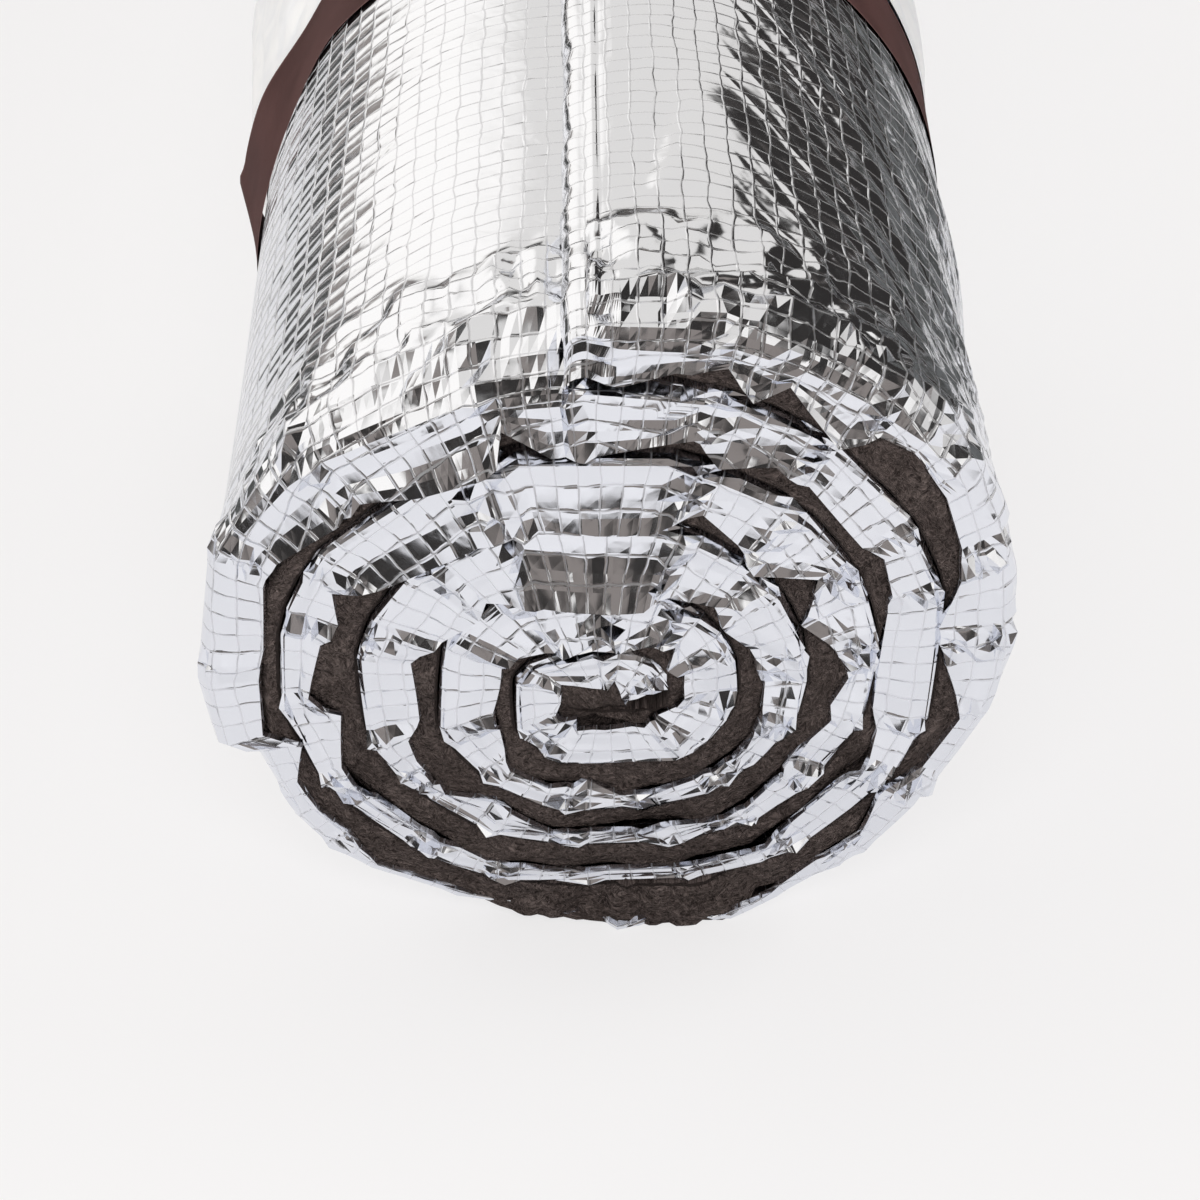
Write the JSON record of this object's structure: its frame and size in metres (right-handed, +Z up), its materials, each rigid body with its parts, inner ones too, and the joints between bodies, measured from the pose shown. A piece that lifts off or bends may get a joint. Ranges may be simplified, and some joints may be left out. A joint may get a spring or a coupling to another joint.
{
  "type": "foil-faced insulation roll",
  "caption": "Oval roll of foil-faced wool insulation blanket lying on its side, its foil edges folded over the coiled ends, with a flat strap round it and a film sleeve over the rear.",
  "frame": {"origin": "middle of the roll's length and width, on the surface it lies on", "axes": "+Y along the roll's axis from its bare front end to the sleeved rear end, +Z up, +X to the right seen from the front end"},
  "size_m": [0.3122, 1.2, 0.2707],
  "materials": {
    "wool": "matted brown mineral wool, dull and fibrous",
    "foil": "bright crinkled foil with a square reinforcing mesh",
    "strap": "flat brown woven strap, dull",
    "film": "thin white film, soft gloss"
  },
  "bodies": {
    "root": {"wool_blanket": "wool", "foil_facing": "foil", "strap": "strap", "film_sleeve": "film"}
  },
  "joints": []
}
